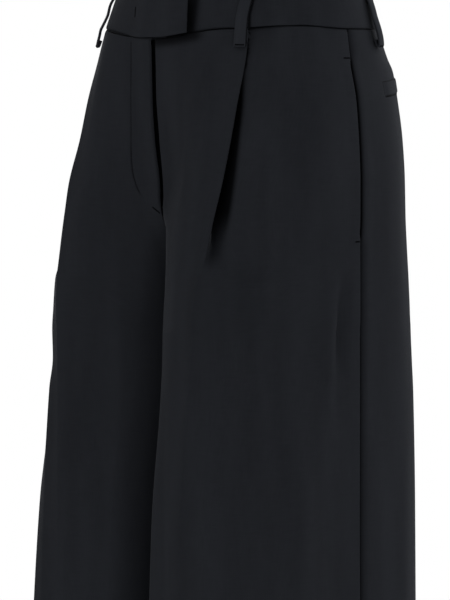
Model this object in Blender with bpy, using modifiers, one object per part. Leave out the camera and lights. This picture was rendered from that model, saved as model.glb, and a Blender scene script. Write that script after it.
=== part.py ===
"""Palazzo trousers, high waist, one deep pleat a side, wide straight legs.

Worn form with no wearer: waistband level, legs hanging.  Frame: +Z up, +Y to the
back, +X to the wearer's left, origin in the middle of the waistband's hollow,
half way up the band.  Tables are in millimetres; the meshes are in metres.
"""
import math

import bmesh
import bpy
import numpy as np

# ---------------------------------------------------------------- sizes (mm)
CLOTH = 1.2            # wall of a cloth panel
SEAM_GAP = 0.4         # between two panels at a seam
BAND_GAP = 0.9         # between the middles of band and panel walls, which slope
BAND_HALF_X = 148.0    # waistband, middle of its thickness, at its lower edge
BAND_HALF_Y = 113.0
BAND_TOP_X = 140.0     # the same at its upper edge
BAND_TOP_Y = 105.5
BAND_TOP = 16.0
BAND_LOW = -16.0
BAND_DIP = 8.0         # the band sinks this much at the centre front
BAND_THICK = 2.6
TAB_PAST = 51.0        # band end, past the centre front
TAB_SLANT = 0.8        # degrees that its end leans, so that it hangs plumb
BAND_FULL = 2.8        # its lower edge is fuller over the hip bones than an ellipse
TAB_STEP = 3.4         # the tab clears the band's other end
TAB_LIFT = 6.6         # and stands this much further off at its free end
FLY_OPEN = 4.2         # left front edge, from the centre line
FLY_LOW = -182.0       # lowest point of the fly opening
FLY_LIFT = 2.6         # the right front laps over, proud of the left
SHIELD_IN, SHIELD_BOW = 2.6, 3.2   # behind the fronts, and further in half way down
SHIELD_FROM, SHIELD_TO = -30.0, 15.0
LOOP_WIDE = 12.0
LOOP_THICK = 2.2
LOOP_LOW = -32.5
WELT_FROM, WELT_LONG, WELT_HIGH = 40.0, 122.0, 14.0   # along the back, from the side seam
WELT_OUT = 2.2
WELT_TOP, WELT_RISE = -61.0, 8.0
POCKET_TOP, POCKET_LOW = -42.0, -214.0                # opening in the side seam
FACING_HALF = 16.0
HEM = -1044.0

# Half section of a leg, from the centre front (e) round the outside to the
# centre back (j).  f is the edge of the pleat, g its inner fold, s the side seam.
FRONT_COLS = ("z", "ex", "ey", "ix", "iy", "mx", "my", "fx", "fy", "gx", "gy", "hx", "hy", "ox", "oy", "sx", "sy")
FRONT = (
    (-16, 0, -112, 36, -113, 73, -107, 105.5, -83.7, 87, -92, 117, -69, 142, -46, 149, 3),
    (-44, 0, -111, 35, -113, 75, -113, 109.4, -90.4, 89, -93, 107.5, -85.5, 148, -50, 153, 4),
    (-82, 0, -110, 34, -113, 76, -118, 111.2, -101.6, 93, -91, 114, -93.2, 153, -55, 160, 7),
    (-121, 0, -107, 32, -111, 76, -124, 112.0, -111.5, 93, -98.5, 120, -103.3, 159, -59, 163, 8),
    (-160, 0, -101, 28, -108, 75, -130, 114.6, -124, 93, -110, 123, -112.2, 162, -62, 166, 7),
    (-190, 1, -99, 18, -108, 74, -135, 112.7, -131.4, 94, -117.5, 122, -116.4, 162, -62, 166, 7),
    (-220, 1, -86, 15, -110, 69, -138, 110.7, -138, 101, -123.5, 118, -121, 160, -60, 165, 6),
    (-240, 1, -76, 15, -111, 65, -137.5, 107, -141.2, 113, -134, 124, -124, 160, -59, 165, 6),
    (-255, 1, -66, 15, -112, 62, -137, 103, -146, 119, -135.5, 136, -119, 160, -58, 165, 6),
    (-286, 1, -25, 14, -114, 60, -138.5, 101, -148, 120.5, -137.2, 136, -118, 159, -58, 165, 6),
    (-300, 1, 6, 14, -115, 60, -139.3, 100, -148, 121, -138, 136, -118, 158, -57, 164, 6),
    (-332, 2, 7, 15, -116, 59, -140.5, 98, -149, 119.5, -138.6, 135, -117, 158, -57, 164, 6),
    (-360, 3, 7, 15, -118, 58, -141, 96, -150, 120.5, -142.5, 137, -119.5, 159, -58, 164, 6),
    (-467, 5, 8, 15, -130, 57, -147, 91, -154, 121, -149, 146, -136, 164, -64, 164, 6),
    (-570, 6, 9, 16, -136, 57, -150, 89, -155, 122, -152, 150, -143, 167, -67, 165, 6),
    (-800, 8, 10, 17, -149, 57, -157, 87, -160, 125, -158, 156, -152, 174, -71, 170, 6),
    (-1044, 10, 12, 20, -161, 58, -165, 86, -168, 129, -166, 166, -164, 183, -76, 175, 5),
)
BACK_COLS = ("z", "ax", "ay", "bx", "by", "cx", "cy", "dx", "dy", "jx", "jy")
BACK = (
    (-16, 141, 40, 109, 77, 66, 101, 32, 110, 0, 112),
    (-44, 147, 43, 117, 83.5, 69, 106, 33, 115, 0, 116),
    (-56, 149, 45, 120.8, 87.5, 70, 110, 33, 117, 0, 118),
    (-82, 154, 49, 123, 91, 71, 116, 34, 121, 0, 121),
    (-121, 158, 52, 126, 95, 73, 121, 34, 125, 0, 123),
    (-160, 160, 54, 127, 97, 74, 123, 32, 126, 0, 120),
    (-190, 160, 54, 127, 98, 75, 123, 30, 124, 1, 114),
    (-220, 160, 55, 128, 99, 77, 123, 27, 120, 1, 103),
    (-255, 160, 56, 129, 101, 79, 123, 24, 116, 1, 80),
    (-286, 160, 57, 130, 102, 80, 123, 22, 112, 1, 32),
    (-300, 161, 57, 130, 103, 80, 123, 22, 111, 1, 6),
    (-332, 161, 58, 131, 104, 80, 125, 21, 112, 2, 7),
    (-360, 161, 59, 132, 105, 81, 126, 21, 112, 3, 7),
    (-467, 162, 60, 133, 107, 81, 129, 21, 115, 5, 8),
    (-570, 163, 60, 133, 108, 81, 132, 21, 118, 6, 9),
    (-800, 168, 62, 137, 111, 82, 137, 22, 124, 8, 10),
    (-1044, 174, 64, 141, 115, 84, 144, 23, 130, 10, 12),
)
# How far from each corner the cloth starts to bend (a big number: all the way)
BEND_COLS = ("z", "i", "f", "g", "h", "c", "d", "fold")
BEND = (
    (-16, 99, 1.2, 1.2, 99, 99, 99, 1.0),
    (-44, 99, 1.2, 1.3, 6, 99, 99, 1.0),
    (-82, 99, 1.3, 1.8, 6, 99, 99, 1.0),
    (-121, 99, 1.5, 3.0, 7, 99, 99, 1.0),
    (-190, 80, 2.2, 5, 8, 99, 80, 0.6),
    (-220, 60, 5.5, 6, 9, 99, 60, 0.1),
    (-240, 56, 9.0, 12, 20, 99, 55, 0.0),
    (-300, 45, 12.0, 99, 99, 90, 45, 0.0),
    (-570, 45, 10.0, 99, 99, 14, 45, 0.0),
    (-1044, 45, 7.0, 99, 99, 12, 45, 0.0),
)
FOLD_TURN = 1.9        # between the two layers where the pleat turns back


# ---------------------------------------------------------------- geometry
def column(table, cols, name):
    rows = sorted(table)
    k = cols.index(name)
    return np.array([r[0] for r in rows], float), np.array([r[k] for r in rows], float)


def through(table, cols, name, z):
    """Monotone cubic through one column of a table."""
    xs, ys = column(table, cols, name)
    h = np.diff(xs)
    d = np.diff(ys) / h
    m = np.concatenate([[d[0]], np.zeros(len(xs) - 2), [d[-1]]])
    for k in range(1, len(xs) - 1):
        if d[k - 1] * d[k] > 0:
            w1, w2 = 2 * h[k] + h[k - 1], h[k] + 2 * h[k - 1]
            m[k] = (w1 + w2) / (w1 / d[k - 1] + w2 / d[k])
    z = np.clip(z, xs[0], xs[-1])
    k = np.clip(np.searchsorted(xs, z, side="right") - 1, 0, len(xs) - 2)
    t = (z - xs[k]) / h[k]
    return ((1 + 2 * t) * (1 - t) ** 2 * ys[k] + t * (1 - t) ** 2 * h[k] * m[k]
            + t * t * (3 - 2 * t) * ys[k + 1] + t * t * (t - 1) * h[k] * m[k + 1])


def corners(z):
    """Corner points (15, 2) and bends (15) of the half section at height z."""
    def at(table, cols, a):
        return np.array([through(table, cols, a + "x", z), through(table, cols, a + "y", z)])
    e, i, m, f, g, h, o, s = (at(FRONT, FRONT_COLS, a) for a in "eimfghos")
    a, b, c, d, j = (at(BACK, BACK_COLS, a) for a in "abcdj")
    bend = {k: float(through(BEND, BEND_COLS, k, z)) for k in BEND_COLS[1:]}
    run = (f - m) / np.linalg.norm(f - m)
    inward = np.array([-run[1], run[0]])
    w = bend["fold"]
    f2 = (1 - w) * (f + 0.2 * (g - f)) + w * (f + FOLD_TURN * inward)
    g2 = (1 - w) * (f + 0.8 * (g - f)) + w * (g - FOLD_TURN * inward)
    pts = np.array([e, i, m, f, f2, g2, g, h, o, s, a, b, c, d, j])
    r = np.array([0, bend["i"], 99, bend["f"], bend["f"], bend["g"], bend["g"], bend["h"], 99, 99, 99, 99,
                  bend["c"], bend["d"], 0])
    return pts, r


def half_section(z, plan):
    """Points of the half section at height z.  plan lists (corner, place) pairs:
    place 0..1 runs round the corner's bend, 1..2 along the straight after it."""
    pts, r = corners(z)
    n = len(pts)
    leg = np.linalg.norm(np.diff(pts, axis=0), axis=1)
    before = [0.0] + [min(r[k], 0.42 * leg[k - 1]) for k in range(1, n - 1)] + [0.0]
    after = [0.0] + [min(r[k], 0.42 * leg[k]) for k in range(1, n - 1)] + [0.0]
    out = []
    for k, place in plan:
        if place <= 1:
            if k in (0, n - 1):
                out.append(pts[k])
                continue
            p0 = pts[k] + (pts[k - 1] - pts[k]) * before[k] / leg[k - 1]
            p2 = pts[k] + (pts[k + 1] - pts[k]) * after[k] / leg[k]
            out.append((1 - place) ** 2 * p0 + 2 * place * (1 - place) * pts[k] + place ** 2 * p2)
        else:
            p0 = pts[k] + (pts[k + 1] - pts[k]) * after[k] / leg[k]
            p1 = pts[k + 1] + (pts[k] - pts[k + 1]) * before[k + 1] / leg[k]
            out.append(p0 + (place - 1) * (p1 - p0))
    return np.array(out)


def trim(points, start, end):
    """The same polyline, shortened at both ends; the inner points stay."""
    points = np.array(points, float)
    for cut, a, b in ((start, 0, 1), (end, -1, -2)):
        d = points[b] - points[a]
        points[a] = points[a] + d * min(0.9, cut / np.linalg.norm(d))
    return points


def smooth(a, b, x):
    t = min(1.0, max(0.0, (x - a) / (b - a)))
    return t * t * (3 - 2 * t)


def seam_z(x, y):
    """Height of the waist seam at a plan point."""
    t = abs(math.degrees(math.atan2(x / BAND_HALF_X, -y / BAND_HALF_Y)))
    return BAND_LOW - BAND_DIP * (1 - smooth(4, 38, t)) + 2.5 * smooth(38, 60, t) * (1 - smooth(66, 92, t))


# ---------------------------------------------------------------- meshes
def fresh():
    for ob in list(bpy.data.objects):
        bpy.data.objects.remove(ob, do_unlink=True)


def cloth_material(name, colour, rough):
    mat = bpy.data.materials.new(name)
    mat.use_nodes = True
    p = mat.node_tree.nodes["Principled BSDF"]
    p.inputs["Base Color"].default_value = (*colour, 1)
    p.inputs["Roughness"].default_value = rough
    p.inputs["Metallic"].default_value = 0.0
    return mat


def sheet_object(name, grid, thick, mat, flip, coll):
    """Open grid of points (rows, columns, 3) in mm, given its wall by Solidify."""
    bm = bmesh.new()
    rows = [[bm.verts.new((p[0] / 1000, p[1] / 1000, p[2] / 1000)) for p in row] for row in grid]
    for r0, r1 in zip(rows, rows[1:]):
        for k in range(len(r0) - 1):
            quad = (r0[k], r1[k], r1[k + 1], r0[k + 1])
            bm.faces.new(quad[::-1] if flip else quad)
    mesh = bpy.data.meshes.new(name)
    bm.to_mesh(mesh)
    bm.free()
    mesh.shade_smooth()
    ob = bpy.data.objects.new(name, mesh)
    coll.objects.link(ob)
    mesh.materials.append(mat)
    mod = ob.modifiers.new("wall", "SOLIDIFY")
    mod.thickness = thick / 1000
    mod.offset = 0.0
    mod.use_even_offset = False
    mod.use_quality_normals = True
    return ob


FRONT_PLAN = [(0, 0), (0, 1.5), (1, 0.0), (1, 0.5), (1, 1.0), (2, 0.5), (3, 0.0), (3, 0.5), (3, 1.0),
              (4, 0.5), (4, 1.0), (5, 0.0), (5, 0.5), (6, 0.5), (6, 1.0), (7, 0.3), (7, 0.8), (8, 0.3),
              (8, 0.8), (9, 0.5)]
BACK_PLAN = [(9, 0.5), (10, 0.5), (11, 0.3), (11, 0.8), (12, 0.0), (12, 0.5), (12, 1.0), (13, 0.0),
             (13, 0.5), (13, 1.0), (13, 1.5), (14, 0)]
FRONT_ROWS = (-44, -63, -82, -121, -160, -190, -205, -220, -230, -240, -255, -271, -286, -293, -300, -332, -360, -410,
              -467, -570, -800, HEM)
BACK_ROWS = (-44, -56, -82, -121, -160, -190, -220, -240, -255, -271, -286, -293, -300, -330, -360, -467, -570,
             -800, HEM)


def panel(name, side, mirror, mat, coll):
    front = side == "front"
    plan = FRONT_PLAN if front else BACK_PLAN
    grid = []
    # the row under the waistband follows the seam, each point at its own height
    base = half_section(BAND_LOW, plan)
    tops = [seam_z(x, y) - BAND_GAP / 2 for x, y in base]
    first = [list(half_section(z, plan)[k]) + [z] for k, z in enumerate(tops)]
    grid.append(first)
    for z in (FRONT_ROWS if front else BACK_ROWS):
        grid.append([[x, y, z] for x, y in half_section(z, plan)])
    grid = np.array(grid, float)
    for row in grid:
        z = row[0, 2]
        start, end = (0.0, SEAM_GAP / 2) if front else (SEAM_GAP / 2, 0.0)
        if front:
            open_here = smooth(FLY_LOW - 4, FLY_LOW + 10, z)
            start = FLY_OPEN * open_here if not mirror else 0.0
            start += SEAM_GAP / 2 * (1 - open_here) + (0.3 if mirror else 0.0)
        else:
            end = SEAM_GAP / 2 + 0.2
        row[:, :2] = trim(row[:, :2], start, end)
        if front and mirror:
            # the right front laps over the left down to the end of the fly
            lift = FLY_LIFT * smooth(FLY_LOW - 20, FLY_LOW + 12, z)
            row[:, 1] -= lift * np.array([1 - smooth(4, 34, x) for x in row[:, 0]])
    if mirror:
        grid[:, :, 0] *= -1
    return sheet_object(name, grid, CLOTH, mat, mirror, coll)


def band_point(t, z_share, out):
    """Waistband surface: t degrees from the centre front to the wearer's left,
    z_share 0 at the seam and 1 at the top, out in mm past the middle surface."""
    s, c = math.sin(math.radians(t)), math.cos(math.radians(t))
    ax = BAND_HALF_X + (BAND_TOP_X - BAND_HALF_X) * z_share
    ay = BAND_HALF_Y + (BAND_TOP_Y - BAND_HALF_Y) * z_share
    nx, ny = s / ax, -c / ay
    n = math.hypot(nx, ny)
    t = abs((t + 180) % 360 - 180)
    out += BAND_FULL * (1 - z_share) * smooth(8, 36, t) * (1 - smooth(50, 90, t))
    low = seam_z(ax * s, -ay * c) + BAND_GAP / 2
    top = BAND_TOP - 0.35 * BAND_DIP * (1 - smooth(4, 38, t))
    return [ax * s + out * nx / n, -ay * c + out * ny / n, low + (top - low) * z_share]


def waistband(mat, coll):
    """One strip from the hidden left end, round the back, to the tab at the front."""
    end = 360 + math.degrees(math.asin(TAB_PAST / BAND_HALF_X))
    turns = [1.0] + [6.0 * k for k in range(1, 57)] + [341, 345, 349, 353, 357, 361, 365, 369, 373, 377, end]
    grid = []
    for share in (0.0, 0.5, 1.0):
        lean = TAB_SLANT * (1 - 2 * share)
        grid.append([band_point(t + lean * smooth(356, end, t), share,
                                TAB_STEP * smooth(343, 358, t) + TAB_LIFT * smooth(357, 381, t)) for t in turns])
    grid = np.array(grid)
    # the tab's own lower edge stays level with the band it lies on
    return sheet_object("waistband", grid, BAND_THICK, mat, True, coll)


def surface_row(z, arc, mirror=False):
    """Plan point and outward direction at a distance along the section from the
    side seam, to the back."""
    line = half_section(z, BACK_PLAN if arc >= 0 else FRONT_PLAN[::-1])
    left = abs(arc)
    for a, b in zip(line, line[1:]):
        d = np.linalg.norm(b - a)
        if left <= d:
            break
        left -= d
    run = (b - a) / d * (1 if arc >= 0 else -1)
    p = a + (b - a) * left / d
    out = np.array([run[1], -run[0]])
    return p, out


def on_back(name, arcs, heights, out, thick, mirror, mat, coll):
    """A piece that lies on the side or back: points of the panel, moved out."""
    grid = []
    for row in heights:
        line = []
        for arc in arcs:
            z = row(arc)
            p, n = surface_row(z, arc)
            q = p + n * out
            line.append([-q[0] if mirror else q[0], q[1], z])
        grid.append(line)
    return sheet_object(name, grid, thick, mat, mirror, coll)


def fly_shield(mat, coll):
    grid = []
    for z in (-27, -38, -50, -90, -121, -165, -175, -184):
        z = float(z)
        pts = half_section(z, [(0, 0), (0, 1.5), (1, 0.0), (1, 0.5)])
        line = []
        for k in range(7):
            x = SHIELD_FROM + (SHIELD_TO - SHIELD_FROM) * k / 6
            y = np.interp(abs(x), pts[:, 0], pts[:, 1]) + SHIELD_IN + SHIELD_BOW * smooth(-27, -50, z) * smooth(-192, -165, z)
            line.append([x, y, z])
        grid.append(line)
    return sheet_object("fly_shield", grid, CLOTH, mat, False, coll)


# strap of a belt loop: distance outside what it lies on, and height
LOOP_COLS = ("out", "z")
LOOP = ((0.4, 15.3), (1.9, 11), (2.3, 6.5), (1.6, 1.5), (1.2, -2), (1.8, -7), (2.6, -12.5), (3.3, -16),
        (2.8, -21), (2.9, -27), (2.6, LOOP_LOW), (0.9, -31.8), (0.3, -26))
SIDE_LOOP = ((0.5, 15.3), (2.2, 10), (2.9, 3), (3.1, -5), (4.2, -13), (4.6, -20), (4.2, -27), (3.0, LOOP_LOW),
             (0.9, -31.7), (0.3, -26))
LOOP_AT, LOOP_LEAN = 42.2, 4.3      # front loops: degrees round, and their tops sewn on aslant


def reach(t, z):
    """How far the panels stand outside the band's lower edge at t degrees."""
    edge = np.array(band_point(t, 0.0, 0.0))[:2]
    n = np.array(band_point(t, 0.0, 1.0))[:2] - edge
    off = half_section(min(z, BAND_LOW), FRONT_PLAN + BACK_PLAN[1:]) - edge
    along, out = off @ np.array([-n[1], n[0]]), off @ n
    hits = [o0 + (o1 - o0) * a0 / (a0 - a1) for a0, a1, o0, o1 in zip(along, along[1:], out, out[1:])
            if a0 * a1 < 0 and o0 > -40]
    return max(hits) if hits else float(out[np.argmin(abs(along))])


def belt_loop(name, t, strap, lean, mirror, mat, coll):
    """Strap standing off the band at t degrees, its lower end turned under on the panel."""
    rows = []
    for out, z in strap:
        share = max(0.0, (z - BAND_LOW) / (BAND_TOP - BAND_LOW))
        p = np.array(band_point(t, share, 0.0))[:2]
        n = np.array(band_point(t, share, 1.0))[:2] - p
        # below the band the strap follows the panel beside it
        p = p + n * max(0.0, reach(t, z)) * (1 - smooth(BAND_LOW, 10, z))
        side = np.array([-n[1], n[0]])
        aside = lean * min(1.0, max(0.0, (z + 4) / 19))
        rows.append([[*(p + n * (out + BAND_THICK / 2 + LOOP_THICK / 2) + side * (s * LOOP_WIDE / 2 + aside)), z]
                     for s in (-1, 0, 1)])
    grid = np.array(rows)
    if mirror:
        grid[:, :, 0] *= -1
    return sheet_object(name, grid, LOOP_THICK, mat, mirror, coll)


def main():
    fresh()
    coll = bpy.data.collections.new("palazzo_trousers")
    bpy.context.scene.collection.children.link(coll)
    black = (0.0137, 0.0144, 0.0168)

    for side in ("front", "back"):
        for label, mirror in (("left", False), ("right", True)):
            panel(f"{side}_{label}", side, mirror, cloth_material(f"{side}_{label}_wool", black, 0.9), coll)
    waistband(cloth_material("waistband_wool", black, 0.9), coll)
    fly_shield(cloth_material("fly_shield_wool", black, 0.9), coll)

    arcs = [WELT_FROM + WELT_LONG * k / 16 for k in range(17)]

    def welt_line(drop):
        return lambda arc: WELT_TOP - drop - WELT_RISE * (1 - (arc - WELT_FROM) / WELT_LONG) + WELT_RISE / 2
    facing_arcs = [-FACING_HALF, -8, -1, 1, 8, FACING_HALF]
    facing_rows = [lambda arc, z=z: z for z in (POCKET_TOP, -70.0, -100.0, -130.0, -160.0, -190.0, POCKET_LOW)]
    for label, mirror in (("left", False), ("right", True)):
        on_back(f"back_welt_{label}", arcs, [welt_line(0), welt_line(WELT_HIGH / 2), welt_line(WELT_HIGH)],
                WELT_OUT, CLOTH, mirror, cloth_material(f"back_welt_{label}_wool", black, 0.9), coll)
        on_back(f"pocket_facing_{label}", facing_arcs, facing_rows, -2.4, CLOTH, mirror,
                cloth_material(f"pocket_facing_{label}_wool", black, 0.9), coll)
        belt_loop(f"belt_loop_front_{label}", LOOP_AT, LOOP, LOOP_LEAN, mirror,
                  cloth_material(f"belt_loop_front_{label}_wool", black, 0.9), coll)
        belt_loop(f"belt_loop_side_{label}", 112.0, SIDE_LOOP, 0.0, mirror,
                  cloth_material(f"belt_loop_side_{label}_wool", black, 0.9), coll)
    belt_loop("belt_loop_back", 180.0, LOOP, 0.0, False, cloth_material("belt_loop_back_wool", black, 0.9), coll)


main()
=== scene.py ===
"""Palazzo trousers in black suiting wool, worn form: looks.

Lengths in the tables are millimetres; meshes are in metres.  +Z up, +Y to the
back, +X to the wearer's left, z = 0 half way up the waistband.
"""
import math

import bpy
import numpy as np
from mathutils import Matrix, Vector


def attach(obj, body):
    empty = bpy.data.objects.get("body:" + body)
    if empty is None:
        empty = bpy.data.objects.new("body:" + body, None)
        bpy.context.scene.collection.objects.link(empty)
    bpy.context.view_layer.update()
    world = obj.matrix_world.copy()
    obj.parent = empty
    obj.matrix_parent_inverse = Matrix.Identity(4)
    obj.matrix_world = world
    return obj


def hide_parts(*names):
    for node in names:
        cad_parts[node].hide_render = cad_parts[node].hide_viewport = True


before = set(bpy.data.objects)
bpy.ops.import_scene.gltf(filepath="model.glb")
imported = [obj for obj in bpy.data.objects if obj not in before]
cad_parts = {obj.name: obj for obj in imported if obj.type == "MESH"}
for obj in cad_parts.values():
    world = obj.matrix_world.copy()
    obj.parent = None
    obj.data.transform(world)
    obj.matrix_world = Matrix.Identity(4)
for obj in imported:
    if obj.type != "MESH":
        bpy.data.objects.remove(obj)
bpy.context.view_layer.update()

# ------------------------------------------------------------------ camera
VIEW_TURN = 50.0        # degrees round from the front, to the wearer's left
VIEW_DISTANCE = 4.0
SCALE = 1040.0          # photo pixels to the metre at the trousers' axis
AXIS_AT = 18.0          # the axis lies this many pixels right of the centre
AIM_Z, EYE_Z = -0.275, -0.06


def make_camera():
    a = math.radians(VIEW_TURN)
    right = Vector((math.cos(a), math.sin(a), 0))
    toward = Vector((math.sin(a), -math.cos(a), 0))
    aside = -right * (AXIS_AT / SCALE)
    aim = aside + Vector((0, 0, AIM_Z))
    eye = aside + toward * VIEW_DISTANCE + Vector((0, 0, EYE_Z))
    data = bpy.data.cameras.new("camera")
    cam = bpy.data.objects.new("camera", data)
    bpy.context.scene.collection.objects.link(cam)
    cam.location = eye
    cam.rotation_euler = (aim - eye).to_track_quat("-Z", "Y").to_euler()
    data.sensor_fit = "VERTICAL"
    data.sensor_height = 36.0
    data.lens = 36.0 * SCALE * (aim - eye).length / 600.0
    data.clip_end = 50
    bpy.context.scene.camera = cam
    bpy.context.view_layer.update()


make_camera()

# ------------------------------------------------------------------ sizes (mm)
CLOTH = 1.2
SEAM_GAP = 0.4
SEWN_GAP = 0.08          # inseams
SEWN_LAP = 0.16          # centre seam, each side past the middle
BAND_GAP = 0.9
BAND_HALF_X, BAND_HALF_Y = 148.0, 113.0
BAND_TOP_X, BAND_TOP_Y = 140.0, 105.5
BAND_TOP, BAND_LOW, BAND_DIP = 16.0, -16.0, 8.0
BAND_THICK = 2.6
TAB_PAST, TAB_STEP, TAB_LIFT, TAB_SLANT, BAND_FULL = 51.0, 3.4, 6.6, 0.8, 2.8
FLY_OPEN, FLY_LOW, FLY_LIFT = 4.2, -182.0, 2.6
SHIELD_IN, SHIELD_BOW = 2.6, 3.2
SHIELD_FROM, SHIELD_TO = -30.0, 15.0
LOOP_WIDE, LOOP_THICK, LOOP_LOW = 12.0, 2.2, -32.5
LOOP_AT, LOOP_LEAN = 42.2, 4.3      # front loops: degrees round, and their tops sewn on aslant
WELT_FROM, WELT_LONG, WELT_HIGH, WELT_OUT = 40.0, 122.0, 14.0, 1.1
WELT_TOP, WELT_RISE = -61.0, 8.0
POCKET_TOP, POCKET_LOW = -42.0, -214.0
FACING_HALF = 16.0
MOUTH = 1.3             # the pocket mouth gapes this much at its front edge
FLY_FACING = 27.0       # doubled cloth behind the lapped front edge
HEM = -1044.0

# The half section of a leg, as the frame has it (named as in a pattern: e centre
# front, i, m, f pleat edge, g pleat's inner fold, h, o, s side seam, a-d back, j
# centre back).
FRONT_COLS = ("z", "ex", "ey", "ix", "iy", "mx", "my", "fx", "fy", "gx", "gy", "hx", "hy", "ox", "oy", "sx", "sy")
FRONT = (
    (-16, 0, -112, 36, -113, 73, -107, 105.5, -83.7, 87, -92, 117, -69, 142, -46, 149, 3),
    (-44, 0, -111, 35, -113, 75, -113, 109.0, -90, 89, -93, 107.5, -85.5, 148, -50, 153, 4),
    (-82, 0, -110, 34, -113, 76, -118, 110.9, -101.3, 93, -91, 114, -93.2, 153, -55, 160, 7),
    (-121, 0, -107, 32, -111, 76, -124, 111.6, -111.1, 93, -98.5, 120, -103.3, 159, -59, 163, 8),
    (-160, 0, -101, 28, -108, 75, -130, 113.3, -122.8, 93, -110, 123, -112.2, 162, -62, 166, 7),
    (-190, 1, -99, 18, -108, 74, -135, 111.3, -130.3, 94, -117.5, 122, -116.4, 162, -62, 166, 7),
    (-220, 1, -86, 15, -110, 69, -138, 109.6, -137.1, 101, -123.5, 118, -121, 160, -60, 165, 6),
    (-240, 1, -76, 15, -111, 65, -137.5, 107, -141.2, 113, -134, 124, -124, 160, -59, 165, 6),
    (-255, 1, -66, 15, -112, 62, -137, 103, -146, 119, -135.5, 136, -119, 160, -58, 165, 6),
    (-286, 1, -25, 14, -114, 60, -138.5, 101, -148, 120.5, -137.2, 136, -118, 159, -58, 165, 6),
    (-300, 1, 6, 14, -115, 60, -139.3, 100, -148, 121, -138, 136, -118, 158, -57, 164, 6),
    (-332, 2, 7, 15, -116, 59, -140.5, 98, -149, 119.5, -138.6, 135, -117, 158, -57, 164, 6),
    (-360, 3, 7, 15, -118, 58, -141, 96, -150, 120.5, -142.5, 137, -119.5, 159, -58, 164, 6),
    (-467, 5, 8, 15, -130, 57, -147, 91, -154, 121, -149, 146, -136, 164, -64, 164, 6),
    (-570, 6, 9, 16, -136, 57, -150, 89, -155, 122, -152, 150, -143, 167, -67, 165, 6),
    (-800, 8, 10, 17, -149, 57, -157, 87, -160, 125, -158, 156, -152, 174, -71, 170, 6),
    (-1044, 10, 12, 20, -161, 58, -165, 86, -168, 129, -166, 166, -164, 183, -76, 175, 5),
)
BACK_COLS = ("z", "ax", "ay", "bx", "by", "cx", "cy", "dx", "dy", "jx", "jy")
BACK = (
    (-16, 141, 40, 109, 77, 66, 101, 32, 110, 0, 112),
    (-44, 147, 43, 117, 83.5, 69, 106, 33, 115, 0, 116),
    (-56, 149, 45, 120.8, 87.5, 70, 110, 33, 117, 0, 118),
    (-82, 154, 49, 123, 91, 71, 116, 34, 121, 0, 121),
    (-121, 158, 52, 126, 95, 73, 121, 34, 125, 0, 123),
    (-160, 160, 54, 127, 97, 74, 123, 32, 126, 0, 120),
    (-190, 160, 54, 127, 98, 75, 123, 30, 124, 1, 114),
    (-220, 160, 55, 128, 99, 77, 123, 27, 120, 1, 103),
    (-255, 160, 56, 129, 101, 79, 123, 24, 116, 1, 80),
    (-286, 160, 57, 130, 102, 80, 123, 22, 112, 1, 32),
    (-300, 161, 57, 130, 103, 80, 123, 22, 111, 1, 6),
    (-332, 161, 58, 131, 104, 80, 125, 21, 112, 2, 7),
    (-360, 161, 59, 132, 105, 81, 126, 21, 112, 3, 7),
    (-467, 162, 60, 133, 107, 81, 129, 21, 115, 5, 8),
    (-570, 163, 60, 133, 108, 81, 132, 21, 118, 6, 9),
    (-800, 168, 62, 137, 111, 82, 137, 22, 124, 8, 10),
    (-1044, 174, 64, 141, 115, 84, 144, 23, 130, 10, 12),
)
BEND_COLS = ("z", "i", "f", "g", "h", "c", "d", "fold")
BEND = (
    (-16, 99, 1.2, 1.2, 99, 99, 99, 1.0),
    (-44, 99, 1.2, 1.3, 6, 99, 99, 1.0),
    (-82, 99, 1.3, 1.8, 6, 99, 99, 1.0),
    (-121, 99, 1.5, 3.0, 7, 99, 99, 1.0),
    (-190, 80, 2.2, 5, 8, 99, 80, 0.6),
    (-220, 60, 5.5, 6, 9, 99, 60, 0.1),
    (-240, 56, 9.0, 12, 20, 99, 55, 0.0),
    (-300, 45, 12.0, 99, 99, 90, 45, 0.0),
    (-570, 45, 10.0, 99, 99, 14, 45, 0.0),
    (-1044, 45, 7.0, 99, 99, 12, 45, 0.0),
)
FOLD_TURN = 1.9


# ------------------------------------------------------------------ sections
def smooth(a, b, x):
    t = np.clip((np.asarray(x, float) - a) / (b - a), 0, 1)
    return t * t * (3 - 2 * t)


def bump(x, centre, half):
    """A soft bump 1 at centre, 0 at half away."""
    t = np.clip(np.abs((np.asarray(x, float) - centre) / half), 0, 1)
    return (1 - t * t) ** 2


def through(table, cols, name, z):
    rows = sorted(table)
    k = cols.index(name)
    xs, ys = np.array([r[0] for r in rows], float), np.array([r[k] for r in rows], float)
    h = np.diff(xs)
    d = np.diff(ys) / h
    m = np.concatenate([[d[0]], np.zeros(len(xs) - 2), [d[-1]]])
    for i in range(1, len(xs) - 1):
        if d[i - 1] * d[i] > 0:
            w1, w2 = 2 * h[i] + h[i - 1], h[i] + 2 * h[i - 1]
            m[i] = (w1 + w2) / (w1 / d[i - 1] + w2 / d[i])
    z = np.clip(z, xs[0], xs[-1])
    i = np.clip(np.searchsorted(xs, z, side="right") - 1, 0, len(xs) - 2)
    t = (z - xs[i]) / h[i]
    return ((1 + 2 * t) * (1 - t) ** 2 * ys[i] + t * (1 - t) ** 2 * h[i] * m[i]
            + t * t * (3 - 2 * t) * ys[i + 1] + t * t * (t - 1) * h[i] * m[i + 1])


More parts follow.
